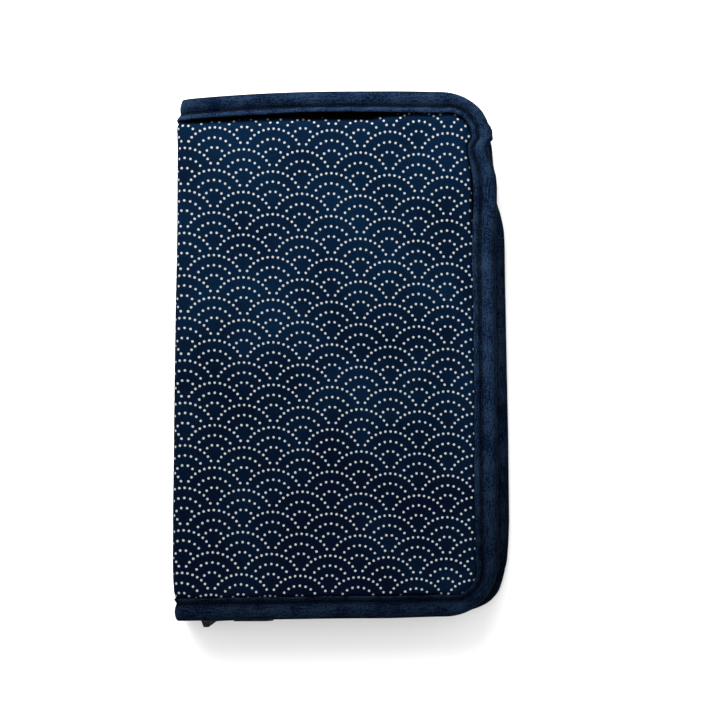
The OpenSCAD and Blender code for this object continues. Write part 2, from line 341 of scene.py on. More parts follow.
def edge_path(edge, half, radius, x_end, step=1.0):
    """Flat points along the three free edges, their inward normals, and the distance run."""
    bottom = np.arange(x_end, edge - radius, step)
    turn = np.linspace(0, math.pi / 2, int(radius * math.pi / 2 / step) + 1)
    fore = np.arange(radius - half, half - radius, step)
    points, normals = [(x, -half) for x in bottom], [(0, 1)] * len(bottom)
    points += [(edge - radius + radius * math.sin(t), radius - half - radius * math.cos(t)) for t in turn]
    normals += [(-math.sin(t), math.cos(t)) for t in turn]
    points += [(edge, y) for y in fore[1:]]
    normals += [(-1, 0)] * (len(fore) - 1)
    points += [(edge - radius + radius * math.cos(t), half - radius + radius * math.sin(t)) for t in turn]
    normals += [(-math.cos(t), -math.sin(t)) for t in turn]
    points += [(x, half) for x in bottom[::-1]]
    normals += [(0, -1)] * len(bottom)
    points, normals = np.array(points, float), np.array(normals, float)
    run = np.concatenate([[0], np.cumsum(np.linalg.norm(np.diff(points, axis=0), axis=1))])
    return points, normals, run


def sweep(name, side, path, inset, depth, material):
    """A closed strip along a path. inset and depth are (stations, profile points) arrays."""
    points, normals, run = path
    rows, columns = inset.shape
    flat = points[:, None, :] + normals[:, None, :] * inset[..., None]
    solid = place(side, flat[..., 0], flat[..., 1], depth).reshape(-1, 3)
    around = np.zeros((rows, columns))
    steps = np.hypot(np.diff(inset, axis=1), np.diff(depth, axis=1))
    around[:, 1:] = np.cumsum(steps, axis=1)
    uvs = np.stack([np.repeat(run[:, None], columns, 1), around], -1).reshape(-1, 2) * MM
    return make_object(name, solid, ring_faces(rows, columns), uvs, material)


def tubes(name, side, lines, radius, sides, material):
    """One mesh of round threads that follow lines of flat points (x, y, depth)."""
    points, faces, uvs = [], [], []
    angles = np.arange(sides) * 2 * math.pi / sides
    for line in lines:
        spine = place(side, line[:, 0], line[:, 1], line[:, 2])
        along = np.gradient(spine, axis=0)
        along /= np.linalg.norm(along, axis=1)[:, None]
        across = np.cross(along, [0.0, 0.0, 1.0])
        short = np.linalg.norm(across, axis=1) < 0.3
        across[short] = np.cross(along[short], [0.0, 1.0, 0.0])
        across /= np.linalg.norm(across, axis=1)[:, None]
        rise = np.cross(across, along)
        start = len(points) * sides
        for k, centre in enumerate(spine):
            points.append(centre + radius * MM * (np.cos(angles)[:, None] * across[k]
                                                  + np.sin(angles)[:, None] * rise[k]))
            uvs += [(k * 0.0003, a * radius * MM) for a in angles]
        faces += ring_faces(len(spine), sides, start)
    return make_object(name, np.vstack(points), faces, uvs, material)


def fold_blend(piece):
    """Bakes a piece's transform into its mesh."""
    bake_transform(piece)


# ---- materials

class Shader:
    """A principled material built up with short calls."""

    def __init__(self, name, roughness, **sockets):
        self.material = bpy.data.materials.new(name)
        self.material.use_nodes = True
        self.tree = self.material.node_tree
        self.out = self.tree.nodes["Principled BSDF"]
        self.out.inputs["Roughness"].default_value = roughness
        for key, value in sockets.items():
            self.out.inputs[key.replace("_", " ")].default_value = value

    def node(self, kind, **settings):
        made = self.tree.nodes.new(kind)
        for key, value in settings.items():
            setattr(made, key, value)
        return made

    def link(self, value, socket):
        if hasattr(value, "is_output"):
            self.tree.links.new(value, socket)
        else:
            socket.default_value = value

    def wire(self, made, **values):
        """Links or sets a node's sockets, each named with _ for a space."""
        for key, value in values.items():
            self.link(value, made.inputs[key.replace("_", " ")])
        return made.outputs

    def math(self, operation, *values):
        made = self.node("ShaderNodeMath", operation=operation)
        for value, socket in zip(values, made.inputs):
            self.link(value, socket)
        return made.outputs[0]

    def add(self, a, b):
        return self.math("ADD", a, b)

    def minus(self, a, b):
        return self.math("SUBTRACT", a, b)

    def times(self, a, b):
        return self.math("MULTIPLY", a, b)

    def length(self, a, b):
        return self.math("SQRT", self.add(self.times(a, a), self.times(b, b)))

    def uv(self):
        return self.node("ShaderNodeUVMap", uv_map="Cloth").outputs["UV"]

    def split(self, vector):
        made = self.node("ShaderNodeSeparateXYZ")
        self.link(vector, made.inputs[0])
        return made.outputs["X"], made.outputs["Y"]

    def stretch(self, vector, scale):
        return self.wire(self.node("ShaderNodeMapping"), Vector=vector, Scale=scale)["Vector"]

    def noise(self, vector, scale, detail=3.0, rough=0.5):
        made = self.node("ShaderNodeTexNoise")
        return self.wire(made, Vector=vector, Scale=scale, Detail=detail, Roughness=rough)["Fac"]

    def ramp(self, value, low, high, out_low=0.0, out_high=1.0):
        made = self.node("ShaderNodeMapRange", interpolation_type="SMOOTHSTEP")
        return self.wire(made, Value=value, From_Min=low, From_Max=high, To_Min=out_low,
                         To_Max=out_high)["Result"]

    def mix(self, factor, a, b):
        made = self.node("ShaderNodeMix", data_type="RGBA")
        self.link(factor, made.inputs["Factor"])
        for key, value in (("A", a), ("B", b)):
            socket = [s for s in made.inputs if s.name == key and s.type == "RGBA"][0]
            self.link(value if hasattr(value, "is_output") else (*value, 1.0), socket)
        return [s for s in made.outputs if s.type == "RGBA"][0]

    def bump(self, height, distance, strength=1.0):
        made = self.node("ShaderNodeBump")
        return self.wire(made, Strength=strength, Distance=distance, Height=height)["Normal"]

    def finish(self, colour, normal=None, roughness=None):
        for key, value in (("Base Color", colour), ("Normal", normal), ("Roughness", roughness)):
            if value is not None:
                self.link(value, self.out.inputs[key])
        return self.material


def weave(s, uv, pitch):
    """Height of a plain weave with that thread pitch, in millimetres, from 0 to 1."""
    x, y = s.split(uv)
    turn = math.pi / (pitch * MM)
    warp = s.math("SINE", s.times(x, turn))
    weft = s.math("SINE", s.times(y, turn))
    return s.math("ABSOLUTE", s.times(warp, weft))


# The print: arcs of dots round centres on a staggered grid, in millimetres and degrees
DOT_CELL = 20.75
DOT_ROW = 7.6
DOT_TILT = 1.9
DOT_R = 0.42
DOT_BLUR = 0.09
DOT_CENTRE = (-45.3, 71.3)
DOT_MARGIN = 1.4
DOT_ARCS = [  # radius, dots, step between them
    (10.5, 13, 10.0),
    (6.9, 7, 17.3),
    (3.4, 4, 34.0),
]


def dot_print(s, uv):
    """1 on the printed dots and 0 between them."""
    tilt = math.radians(DOT_TILT)
    x, y = s.split(uv)
    x = s.minus(s.times(x, 1 / MM), DOT_CENTRE[0])
    y = s.minus(s.times(y, 1 / MM), DOT_CENTRE[1])
    along = s.minus(s.times(x, math.cos(tilt)), s.times(y, math.sin(tilt)))
    up = s.add(s.times(x, math.sin(tilt)), s.times(y, math.cos(tilt)))
    total = None
    for shift_x, shift_y in ((0, 0), (DOT_CELL / 2, DOT_ROW)):
        u = s.math("WRAP", s.add(along, shift_x), DOT_CELL / 2, -DOT_CELL / 2)
        v = s.math("WRAP", s.add(up, shift_y), 2 * DOT_ROW - DOT_MARGIN, -DOT_MARGIN)
        radius = s.length(u, v)
        angle = s.math("ARCTAN2", u, v)
        for arc_r, count, step in DOT_ARCS:
            half = 0.0 if count % 2 else 0.5
            turn = math.radians(step)
            index = s.math("ROUND", s.minus(s.math("DIVIDE", angle, turn), half))
            index = s.math("MINIMUM", index, (count - 1) / 2 - half)
            index = s.math("MAXIMUM", index, (1 - count) / 2 - half)
            off = s.times(s.minus(angle, s.times(s.add(index, half), turn)), arc_r)
            far = s.length(off, s.minus(radius, arc_r))
            dot = s.ramp(far, DOT_R - DOT_BLUR, DOT_R + DOT_BLUR, 1.0, 0.0)
            total = dot if total is None else s.math("MAXIMUM", total, dot)
    return total


def printed_cloth():
    """The dotted navy cotton, with a painted light that makes it lighter towards the top of the case and a
    painted shade near black in the gap under the top lip.
    """
    s = Shader("printed_cloth", 0.85, Specular_IOR_Level=0.01)
    uv = s.uv()
    # UV map of painted light: painted shade in the gap under the top lip, and height up the case for the
    # painted top light
    painted_gap_shade, height_up = s.split(s.node("ShaderNodeUVMap", uv_map="Crease").outputs["UV"])
    wander = s.noise(uv, 900, 2.0)
    grain = s.noise(uv, 4200, 2.0, 0.6)
    cloud = s.noise(uv, 32, 3.0, 0.55)
    threads = weave(s, uv, 0.42)
    # Painted light: the navy is painted lighter towards the top of the case, mixed with a random cloudy tone
    painted_top_light_and_cloud = s.add(s.times(height_up, 0.5), s.times(cloud, 1.5))
    navy = s.mix(s.ramp(painted_top_light_and_cloud, 0.62, 1.55), (0.0005, 0.0017, 0.0064), (0.0011, 0.0095, 0.0270))
    navy = s.mix(s.ramp(threads, 0.35, 0.0), navy, (0.0003, 0.0012, 0.0045))
    navy = s.mix(s.times(s.ramp(grain, 0.45, 0.75), 0.35), navy, (0.0014, 0.0090, 0.0280))
    moved = s.node("ShaderNodeVectorMath", operation="ADD")
    s.link(uv, moved.inputs[0])
    jitter = s.node("ShaderNodeCombineXYZ")
    s.link(s.times(s.minus(wander, 0.5), 0.00022), jitter.inputs["X"])
    s.link(s.times(s.minus(grain, 0.5), 0.00016), jitter.inputs["Y"])
    s.link(jitter.outputs[0], moved.inputs[1])
    dots = dot_print(s, moved.outputs[0])
    warm = s.mix(s.ramp(s.noise(uv, 420, 1.0), 0.4, 0.6), (0.26, 0.285, 0.30), (0.31, 0.31, 0.295))
    ink = s.mix(s.times(s.ramp(threads, 0.25, 0.0), 0.35), warm, (0.14, 0.16, 0.18))
    colour = s.mix(s.times(dots, 0.97), navy, ink)
    # Painted shade: the cloth is coloured near black in the gap under the top lip
    colour = s.mix(painted_gap_shade, colour, (0.0002, 0.0003, 0.0006))
    height = s.add(threads, s.times(grain, 0.6))
    height = s.add(height, s.times(dots, 1.2))
    return s.finish(colour, s.bump(height, 0.00006, 0.8))


# Distances round the binding tape, in millimetres from the lip's inner edge: to the crests of the lip and the
# roll, where the tape's painted highlights fall, and to the middle of the cover's edge
LIP_CREST, ROLL_CREST, BINDING_HALF = 1.2, 6.6, 11.4


def tape_cloth(name, dark, light, rib, sheen):
    """Matte woven tape, with fine ribs along it, painted with highlights on the crests of its roll and lip,
    most on the top lip, and painted shade towards the bottom of the case.
    """
    s = Shader(name, 0.9, Sheen_Weight=sheen, Sheen_Roughness=0.4, Sheen_Tint=(0.45, 0.6, 1.0, 1.0),
               Specular_IOR_Level=0.01)
    uv = s.uv()
    ribs = s.noise(s.stretch(uv, (260, 2600, 1)), 1.0, 3.0, 0.55)
    fleck = s.noise(uv, 1500, 3.0, 0.75)
    cloud = s.noise(uv, 110, 3.0)
    threads = weave(s, uv, rib)
    tone = s.add(s.times(ribs, 0.26), s.times(fleck, 0.5))
    tone = s.add(tone, s.times(cloud, 0.24))
    colour = s.mix(s.ramp(tone, 0.45, 0.56), dark, light)
    colour = s.mix(s.times(s.ramp(threads, 0.35, 0.0), 0.5), colour, dark)
    # Painted light: highlights on the crests of the roll and the lip, a brighter painted highlight on the top
    # lip, and painted shade at the seams, at the edges and towards the bottom of the case
    around = s.math("PINGPONG", s.times(s.split(uv)[1], 1 / MM), BINDING_HALF)
    up = s.split(s.node("ShaderNodeTexCoord").outputs["Object"])[1]
    lip_light = s.ramp(up, 0.074, 0.084, 0.85, 1.35)
    proud = s.math("MAXIMUM", s.ramp(s.math("ABSOLUTE", s.minus(around, ROLL_CREST)), 4.0, 1.0),
                   s.ramp(s.math("ABSOLUTE", s.minus(around, LIP_CREST)), 1.9, 0.9, 0, lip_light))
    painted_light_scale = s.times(s.ramp(proud, 0, 1.35, 0.5, 1.5), s.ramp(up, -0.08, -0.01, 0.58, 1.22))
    lit = s.node("ShaderNodeVectorMath", operation="SCALE")
    s.link(colour, lit.inputs[0])
    s.link(painted_light_scale, lit.inputs["Scale"])
    colour = lit.outputs[0]
    height = s.add(s.times(threads, 0.6), s.times(fleck, 0.8))
    height = s.add(height, ribs)
    return s.finish(colour, s.bump(height, 0.00009, 0.8))


def plain_cloth(name, dark, light, pitch):
    """Plain woven cotton."""
    s = Shader(name, 0.88, Sheen_Weight=0.01, Sheen_Roughness=0.4, Specular_IOR_Level=0.02)
    uv = s.uv()
    threads = weave(s, uv, pitch)
    slub = s.noise(s.stretch(uv, (300, 3000, 1)), 1.0, 2.0)
    cross = s.noise(s.stretch(uv, (3000, 300, 1)), 1.0, 2.0)
    tone = s.times(s.add(slub, cross), 0.5)
    colour = s.mix(s.ramp(tone, 0.42, 0.6), dark, light)
    colour = s.mix(s.times(s.ramp(threads, 0.35, 0.0), 0.8), colour, tuple(c * 0.3 for c in dark))
    height = s.add(threads, s.times(tone, 0.8))
    return s.finish(colour, s.bump(height, 0.00007, 0.8))


def zip_cloth():
    """Zip tape with a herringbone weave along it."""
    s = Shader("zip_tape", 0.8, Specular_IOR_Level=0.03)
    uv = s.uv()
    x, y = s.split(uv)
    column = s.math("PINGPONG", s.times(y, 1 / MM), 1.1)
    slant = s.add(s.times(x, 1 / MM), s.times(column, 0.9))
    twill = s.math("ABSOLUTE", s.math("SINE", s.times(slant, math.pi / 0.8)))
    fleck = s.noise(uv, 3000, 2.0)
    colour = s.mix(s.ramp(twill, 0.1, 0.9), (0.0010, 0.0018, 0.0046), (0.0070, 0.0120, 0.0250))
    colour = s.mix(s.times(fleck, 0.3), colour, (0.012, 0.017, 0.031))
    return s.finish(colour, s.bump(s.add(twill, fleck), 0.00008, 0.8))


def felt(name, dark, light, scale):
    """Batting or board: fibres in a random mat."""
    s = Shader(name, 0.95)
    tone = s.noise(s.uv(), scale, 5.0, 0.7)
    return s.finish(s.mix(s.ramp(tone, 0.3, 0.7), dark, light), s.bump(tone, 0.0003, 0.8))


def thread_cloth():
    """Twisted sewing thread."""
    s = Shader("thread", 0.7, Specular_IOR_Level=0.03)
    x, y = s.split(s.uv())
    twist = s.math("SINE", s.add(s.times(x, 9000.0), s.times(y, 6000.0)))
    colour = s.mix(s.ramp(twist, -0.8, 0.8), (0.0004, 0.0008, 0.0025), (0.0014, 0.0023, 0.0056))
    return s.finish(colour, s.bump(twist, 0.00003, 0.6))


def nylon():
    """Moulded or drawn nylon of the coil."""
    s = Shader("nylon_coil", 0.42, Specular_IOR_Level=0.3)
    tone = s.noise(s.uv(), 1500, 3.0)
    colour = s.mix(s.ramp(tone, 0.3, 0.7), (0.004, 0.006, 0.011), (0.009, 0.012, 0.021))
    return s.finish(colour, s.bump(tone, 0.00002, 0.5), s.ramp(tone, 0.2, 0.8, 0.3, 0.5))


def painted_metal(name):
    """Black enamel on die-cast metal, worn a little at random."""
    s = Shader(name, 0.34, Specular_IOR_Level=0.1, Coat_Weight=0.14, Coat_Roughness=0.1)
    where = s.node("ShaderNodeTexCoord").outputs["Object"]
    fine = s.noise(where, 900, 4.0, 0.6)
    wear = s.noise(where, 260, 5.0, 0.7)
    colour = s.mix(s.ramp(wear, 0.56, 0.66), (0.0008, 0.0008, 0.001), (0.022, 0.022, 0.023))
    return s.finish(colour, s.bump(fine, 0.00003, 0.5), s.ramp(wear, 0.3, 0.8, 0.28, 0.5))


def pale_floor():
    """A plain white sweep."""
    s = Shader("floor", 0.7)
    tone = s.noise(s.node("ShaderNodeTexCoord").outputs["Object"], 3.0, 2.0)
    return s.finish(s.mix(tone, (0.90, 0.90, 0.90), (0.92, 0.92, 0.92)))


CLOTH = printed_cloth()
BINDING = tape_cloth("binding_tape", (0.0002, 0.0017, 0.0066), (0.0069, 0.0148, 0.0305), 0.5, 0.006)
LINING = plain_cloth("lining_cloth", (0.0045, 0.0085, 0.0200), (0.0135, 0.0215, 0.0440), 0.6)
POCKET = plain_cloth("pocket_cloth", (0.0065, 0.0120, 0.0270), (0.0195, 0.0300, 0.0590), 0.65)
ZIP_TAPE = zip_cloth()
BATTING = felt("batting", (0.40, 0.39, 0.37), (0.55, 0.54, 0.52), 900)
BOARD = felt("board", (0.24, 0.20, 0.15), (0.33, 0.29, 0.23), 700)
THREAD = thread_cloth()
NYLON = nylon()
METAL = painted_metal("slider_enamel")


# ---- the layers of a cover

# How far the settled cloth stands out, in millimetres, and the points of its grid
PUFF = {"front": 0.6, "rear": 0.1}
PUFF_GRID = (44, 66)

# The trial sheet, ten times life size and then scaled again, as the solver is steadier on a large one
SETTLE_SIZE = (1.06, 1.74)
SETTLE_SCALE = 10
SETTLE_STEPS = 32


def settle_cloth():
    """Heights, from 0 to 1, of a cover's cloth after a short cloth run, by place across and up the case. The
    cloth is held along its seams and its fold and pushed out from inside by the batting."""
    across, up = PUFF_GRID
    u, v = np.meshgrid(np.linspace(0, 1, across), np.linspace(0, 1, up), indexing="ij")
    points = np.stack([u * SETTLE_SIZE[0], v * SETTLE_SIZE[1], 0 * u], -1).reshape(-1, 3) * SETTLE_SCALE
    mesh = bpy.data.meshes.new("settling")
    mesh.from_pydata(points.tolist(), [], grid_faces(across, up))
    sheet = add_object("settling", mesh)
    held = np.nonzero(((u == 0) | (u == 1) | (v == 0) | (v == 1)).ravel())[0]
    sheet.vertex_groups.new(name="seams").add(held.tolist(), 1.0, "REPLACE")
    cloth = sheet.modifiers.new("settle", "CLOTH")
    cloth.collision_settings.use_collision = False
    settings = cloth.settings
    settings.vertex_group_mass = "seams"
    settings.quality = 6
    settings.mass = 0.2
    settings.air_damping = 4
    settings.tension_stiffness = settings.compression_stiffness = 40
    settings.shear_stiffness = 20
    settings.bending_stiffness = 0.6
    settings.tension_damping = settings.compression_damping = settings.shear_damping = 10
    settings.effector_weights.gravity = 0
    settings.shrink_min = -0.006
    settings.use_pressure = True
    settings.uniform_pressure_force = 0.6
    for step in range(1, SETTLE_STEPS + 1):
        bpy.context.scene.frame_set(step)
    settled = sheet.evaluated_get(bpy.context.evaluated_depsgraph_get())
    heights = np.zeros(across * up * 3)
    settled.data.vertices.foreach_get("co", heights)
    heights = np.abs(heights[2::3].reshape(across, up))
    bpy.context.scene.frame_set(1)
    bpy.data.objects.remove(sheet)
    bpy.data.meshes.remove(mesh)
    return heights / heights.max()


PUFFED = settle_cloth()


def puffed(side, x, y):
    """How far out of its seams the settled cloth stands, in millimetres."""
    seam_x, seam_y = SIDES[side]["edge"] - BINDING_WIDTH[1], HALF_H - BINDING_WIDTH[0]
    u = np.clip((x - FOLD_X) / (seam_x - FOLD_X), 0, 1) * (PUFF_GRID[0] - 1)
    v = np.clip((y + seam_y) / (2 * seam_y), 0, 1) * (PUFF_GRID[1] - 1)
    i, j = np.minimum(u.astype(int), PUFF_GRID[0] - 2), np.minimum(v.astype(int), PUFF_GRID[1] - 2)
    u, v = u - i, v - j
    low = PUFFED[i, j] * (1 - u) + PUFFED[i + 1, j] * u
    high = PUFFED[i, j + 1] * (1 - u) + PUFFED[i + 1, j + 1] * u
    return PUFF[side] * (low * (1 - v) + high * v)


def gap_width(side, x, y, nx, ny):
    """Width of the dark gap between the lip and the printed cloth."""
    if side == "rear":
        return 0.3 + 0 * x
    top, fore, bottom = np.interp(x, *zip(*TOP_GAP)), 0.3 + 0.5 * smoothstep(20, 70, y), 0.2
    return by_edge((top, fore, bottom), nx, ny) + 0.12 * soft_noise(x, y, 5, 7)


def cover_depth(side, x, y):
    """Depth of the printed cloth: under the binding at the edges, puffed up by the batting inside."""
    inside, nx, ny = edge_distance(side, x, y)
    seed = SIDES[side]["seed"]
    past = inside - binding_size(nx, ny)[0]
    gap = gap_width(side, x, y, nx, ny)
    dip = by_edge(CLOTH_DIP[side], nx, ny) * smoothstep(-1.0, 1.9, gap)
    dip = dip + (0.7 - dip) * smoothstep(-50, FOLD_X, x)
    rise = smoothstep(gap - 0.7, gap + 2.2, past)
    soft = 0.16 * soft_noise(x, y, 38, seed) + 0.07 * soft_noise(x, y, 15, seed + 1)
    pull = 0.07 * soft_noise(x, y, 5, seed + 2) * smoothstep(12, 1, past)
    depth = dip + (1.45 - dip) * smoothstep(-0.2, -1.2, past)
    depth = depth + (soft + pull - dip - 0.12) * rise - puffed(side, x, y)
    return depth if SIDES[side]["flip"] else np.maximum(depth, 0.02)


def lining_depth(side, x, y):
    """Depth of the lining's visible face."""
    inside, nx, ny = edge_distance(side, x, y)
    seed = SIDES[side]["seed"] + 5
    past = inside - binding_size(nx, ny)[0]
    rise = smoothstep(-0.6, 3.0, past)
    return 2.85 + 1.3 * rise + 0.04 * soft_noise(x, y, 12, seed) * rise


# The folded tape's section over the outer half of the cover's edge: the plump roll from the edge in to the
# stitches, then the lip, and the tape's hidden side, each as a share of its width and a depth
ROLL = [(0.0, 1.7), (0.03, 1.15), (0.09, 0.65), (0.18, 0.22), (0.3, -0.08), (0.42, -0.22), (0.54, -0.22),
        (0.66, -0.08), (0.77, 0.18), (0.87, 0.5), (0.95, 0.82)]
LIP = [(0.14, 0.78), (0.32, 0.38), (0.55, 0.02), (0.76, -0.14), (0.9, -0.12), (0.98, 0.06), (1.0, 0.34),
       (0.97, 0.66)]
UNDER = [(0.97, 3.15), (0.7, 2.85), (0.35, 2.85), (0.18, 2.7), (0.15, 2.1), (0.18, 1.5), (0.35, 1.36),
         (0.7, 1.36), (0.97, 1.05)]

# Where the front's fore edge has a sharp little kink, up the case
KINK_Y = 80.3


def off_grain(flat):
    """Where points of the cover lie on the printed cloth, which was cut and sewn a little off its grain."""
    a, b = np.clip(flat[:, 0] / 50, -1.25, 1.1), np.clip(flat[:, 1] / 80, -1.1, 1.1)
    along = -2.1 - 0.45 * a + 3.0 * b + 0.4 * a * a - 0.5 * a * b + 0.4 * b * b - b ** 3
    up = 2.1 + 0.4 * a - 0.75 * b - 1.65 * b * b - 0.6 * a * b * b
    return flat + np.stack([along, up], 1)


def make_cover(side):
    """The printed cloth, the batting and the board of one cover."""
    x, y = cover_grid(side, CLOTH_INSET, SPINE_MIDDLE, 1.15)
    top = cover_depth(side, x, y)
    cloth = slab(f"{side}_printed_cloth", side, x, y, top, top + CLOTH_T, CLOTH)
    uv = cloth.data.uv_layers["Cloth"].data
    flat = np.zeros(len(uv) * 2, np.float32)
    uv.foreach_get("uv", flat)
    flat = flat.reshape(-1, 2) / MM
    if not SIDES[side]["flip"]:
        flat[:, 0] = 2 * SPINE_MIDDLE - flat[:, 0]
    uv.foreach_set("uv", (off_grain(flat) * MM).ravel())
    # Painted light, stored in a second UV map: painted shade near black in the gap under the lip, and height
    # up the case for the painted top light
    inside, nx, ny = edge_distance(side, x, y)
    past_gap = inside - binding_size(nx, ny)[0] - gap_width(side, x, y, nx, ny)
    painted_gap_shade = smoothstep(0.16, -0.16, past_gap).ravel()
    height_up = smoothstep(-HALF_H, HALF_H, y).ravel()
    add_uv_map(cloth.data, "Crease", np.tile(np.stack([painted_gap_shade, height_up], -1), (2, 1)))
    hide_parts(f"{side}_cover", "spine_cover")
    fold_blend(cloth)

    x, y = cover_grid(side, PAD_INSET, PANEL_X0, 2.0)
    top = cover_depth(side, x, y) + CLOTH_T + 0.12
    pad = slab(f"{side}_pad", side, x, y, top, np.full_like(x, PAD_BOTTOM), BATTING)
    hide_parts(f"{side}_batting")
    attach(pad, SIDES[side]["body"])

    x, y = cover_grid(side, BOARD_INSET, PANEL_X0, 3.0)
    board = slab(f"{side}_stiff_board", side, x, y, np.full_like(x, BOARD_TOP),
                 lining_depth(side, x, y) - LINING_T - 0.05, BOARD)
    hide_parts(f"{side}_board")
    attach(board, SIDES[side]["body"])
    return cloth


def make_lining(side):
    """The lining cloth of one cover and half of the spine."""
    x, y = cover_grid(side, LINING_INSET, SPINE_MIDDLE, 1.6)
    depth = lining_depth(side, x, y)
    lining = slab(f"{side}_lining_cloth", side, x, y, depth, depth - LINING_T, LINING)
    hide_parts(f"{side}_lining", "spine_lining")
    fold_blend(lining)
    return lining


def make_binding(side):
    """The bias tape folded over the cover's edge, and its stitches on both faces."""
    path = edge_path(SIDES[side]["edge"], HALF_H, CORNER_R, SPINE_MIDDLE, 0.8)
    points, normals, run = path
    nx, ny = normals[:, :1], normals[:, 1:]
    width, seam = binding_size(nx, ny)
    at, seed = run[:, None], SIDES[side]["seed"] + 20
    width = width + 0.25 * soft_noise(at, at * 0, 17, seed) + 0.12 * soft_noise(at, at * 0, 5, seed + 3)
    proud = 0.35 * np.where(ny < 0, ny ** 2, 0) if side == "front" else 0 * ny
    puckers = 0.5 + 0.5 * np.cos(2 * math.pi * (at - 3) / STITCH_PITCH)
    outer = [(seam * share, depth + 0 * at) for share, depth in ROLL]
    outer.append((seam + 0 * at, 1.0 + 0.12 * puckers))
    outer += [(seam + (width - seam) * share, depth - proud * share) for share, depth in LIP]
    inner = [(a, PANEL_T - b) for a, b in outer]
    middle = [(0 * at, FOLD_R + 0 * at)]
    under = [(width * share, depth + 0 * at) for share, depth in UNDER]
    section = outer[::-1] + middle + inner + under
    inset = np.hstack([a for a, b in section])
    depth = np.hstack([b for a, b in section])

    # Small unevenness of a hand-fed tape, with gathers where it turns the corners
    on_outer = (np.arange(len(section)) < len(outer))[None, :]
    on_face = (np.arange(len(section)) < 2 * len(outer) + 1)[None, :]
    wave = 0.10 * soft_noise(at, inset, 6, seed + 1) + 0.05 * soft_noise(at, inset, 2.2, seed + 2)
    gather = 0.13 * np.sin(at * 2.1 + 0.8 * inset) * np.abs(2 * nx * ny) * smoothstep(2.5, 6, inset)
    depth = depth + (wave + gather) * np.where(on_outer, 1, -1) * smoothstep(0.3, 1.5, inset) * on_face
    if side == "front":
        kink = np.exp(-((points[:, 1:] - KINK_Y) / 0.7) ** 2) * (points[:, :1] > 40)
        inset = inset - 0.5 * kink * smoothstep(5, 0.5, inset) * on_face
        depth = depth - 0.12 * kink * smoothstep(0.5, 2, inset) * on_face * np.where(on_outer, 1, -1)
    else:
        depth = np.maximum(depth, 0.02)
    tape = sweep(f"{side}_edge_binding", side, path, inset, depth, BINDING)
    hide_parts(f"{side}_binding", "spine_binding")
    fold_blend(tape)

    lines = []
    ends = np.linspace(-1, 1, 8) ** 6
    for face_depth, dive in ((STITCH_DEPTH, 1), (PANEL_T - STITCH_DEPTH, -1)):
        for k in range(int((run[-1] - 6) / STITCH_PITCH)):
            s = 3 + (k + np.linspace(0.08, 0.92, 8)) * STITCH_PITCH
            line = np.stack([np.interp(s, run, column) for column in (*points.T, *normals.T)], 1)
            reach = binding_size(line[:, 2], line[:, 3])[1]
            lines.append(np.stack([line[:, 0] + line[:, 2] * reach, line[:, 1] + line[:, 3] * reach,
                                   face_depth + dive * (0.5 * ends - 0.04)], 1))
    stitches = tubes(f"{side}_stitches", side, lines, 0.18, 6, THREAD)
    fold_blend(stitches)
    return tape, stitches


for side in SIDES:
    cloth = make_cover(side)
    lining = make_lining(side)
    tape, stitches = make_binding(side)


# ---- zip

def zip_path():
    """The line along which both halves of the zip run."""
    return edge_path(ZIP_HIGH[0], ZIP_HIGH[1], ZIP_CORNER_R, ZIP_LOW[0])


def make_zip_tape(side):
    """The tape's foot lies on the lining, and its wall turns up to carry the coil."""
    path = zip_path()
    at = path[2][:, None]
    wall = COIL_LOW[2] + 0.9
    profile = np.array([
        (0.0, wall), (0.0, 6.4), (0.0, 5.3), (0.12, 4.75), (0.5, 4.36), (1.2, 4.26), (3.0, 4.24),
        (5.5, 4.24), (5.62, 4.45), (5.5, 4.68), (3.0, 4.7), (1.4, 4.76), (0.85, 4.95), (0.6, 5.4),
        (0.58, 6.4), (0.58, wall),
    ])
    inset, depth = (np.repeat(profile[None, :, k], len(at), 0) for k in (0, 1))
    inset = inset + 0.07 * soft_noise(at, depth, 7, 31 + SIDES[side]["seed"]) * smoothstep(wall, 5, depth)
    tape = sweep(f"{side}_zip_strip", side, path, inset, depth, ZIP_TAPE)
    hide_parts(f"{side}_zip_tape")
    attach(tape, SIDES[side]["body"])


def make_coil(side):
    """One half of the coil: flattened turns of nylon round the tape's edge."""
    pitch, steps, wire_r = 1.5, 12, 0.3
    points, normals, run = zip_path()
    turns = int((run[-1] - 1) / pitch)
    t = np.arange(turns * steps) / steps
    s = 0.5 + (t + (0.5 if side == "front" else 0)) * pitch
    angle = t * 2 * math.pi
    inset = 0.3 + 0.95 * np.cos(angle)
    centre = (COIL_LOW[2] + CASE_T / 2 + 0.2) / 2
    reach = CASE_T / 2 + 0.2 - centre - wire_r
    depth = centre + reach * np.sin(angle)
    px, py, nx, ny = (np.interp(s, run, column) for column in (*points.T, *normals.T))
    line = np.stack([px + nx * inset, py + ny * inset, depth], 1)
    coil = tubes(f"{side}_zip_turns", side, [line], wire_r, 6, NYLON)
    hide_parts(f"{side}_zip_coil")
    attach(coil, SIDES[side]["body"])


for side in SIDES:
    make_zip_tape(side)
    make_coil(side)


# ---- pockets

POCKET_STITCH_PITCH = 2.6
POCKETS = {  # side, how far it stands open, noise seed
    "phone_pocket": ("rear", 0.5, 60),
    "bill_pocket": ("front", 0.1, 61),
    "card_pocket_1": ("front", 0.1, 62),
    "card_pocket_2": ("front", 0.1, 63),
    "card_pocket_3": ("front", 0.1, 64),
    "card_pocket_4": ("front", 0.1, 65),
}


